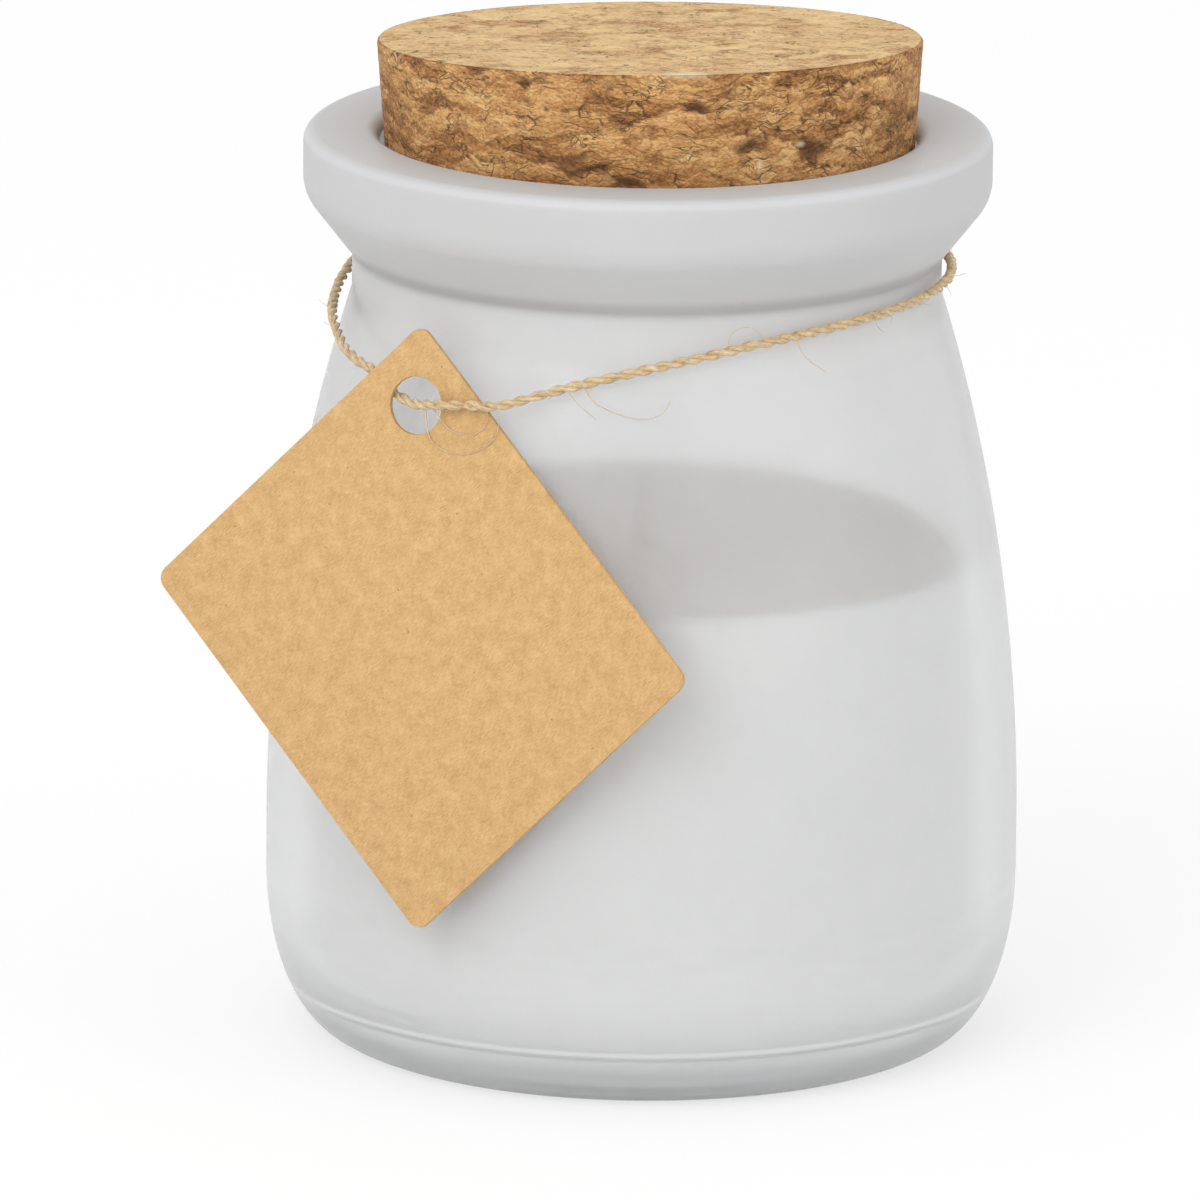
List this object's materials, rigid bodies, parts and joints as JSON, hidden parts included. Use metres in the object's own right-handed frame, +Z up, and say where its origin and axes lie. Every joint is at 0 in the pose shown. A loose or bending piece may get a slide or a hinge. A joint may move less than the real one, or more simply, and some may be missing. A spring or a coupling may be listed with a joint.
{
  "type": "jar candle with cork stopper",
  "caption": "Frosted glass jar with a broad flat-topped lip and tapered cork stopper, half filled with candle wax, with a card tag on a twine round its neck.",
  "frame": {"origin": "centre of the standing ring under the jar, on the table", "axes": "+Z up along the jar's axis; -Y is the front, from which the tag hangs to the left (-X)"},
  "size_m": [0.0749, 0.0714, 0.0897],
  "materials": {
    "frosted_glass": "satin frosted outside",
    "cork": "ground agglomerated cork, matt",
    "wax": "soft candle wax, faint sheen",
    "cotton_wick": "waxed braided cotton",
    "tinplate": "bright sheet",
    "kraft_card": "uncoated kraft card",
    "jute_twine": "two-ply jute twine with loose fibres"
  },
  "bodies": {
    "jar": {"glass_jar": "frosted_glass", "wax_fill": "wax", "wick": "cotton_wick", "wick_sustainer": "tinplate"},
    "cork": {"cork_stopper": "cork"},
    "twine": {"twine_loop": "jute_twine", "twine_knot": "jute_twine"},
    "tag": {"hang_tag": "kraft_card"}
  },
  "joints": [
    {"name": "stopper_lift", "type": "slide", "parent": "jar", "child": "cork", "axis": [0, 0, 1], "range_m": [0, 0.04]},
    {"name": "twine_turn", "type": "hinge", "parent": "jar", "child": "twine", "pos_m": [0, 0, 0.0682], "axis": [0, 0, 1], "continuous": true},
    {"name": "tag_swing", "type": "hinge", "parent": "twine", "child": "tag", "pos_m": [-0.01967, -0.0223, 0.0605], "axis": [-0.4637, -0.8721, 0.1564], "range_deg": [-60, 12]}
  ]
}
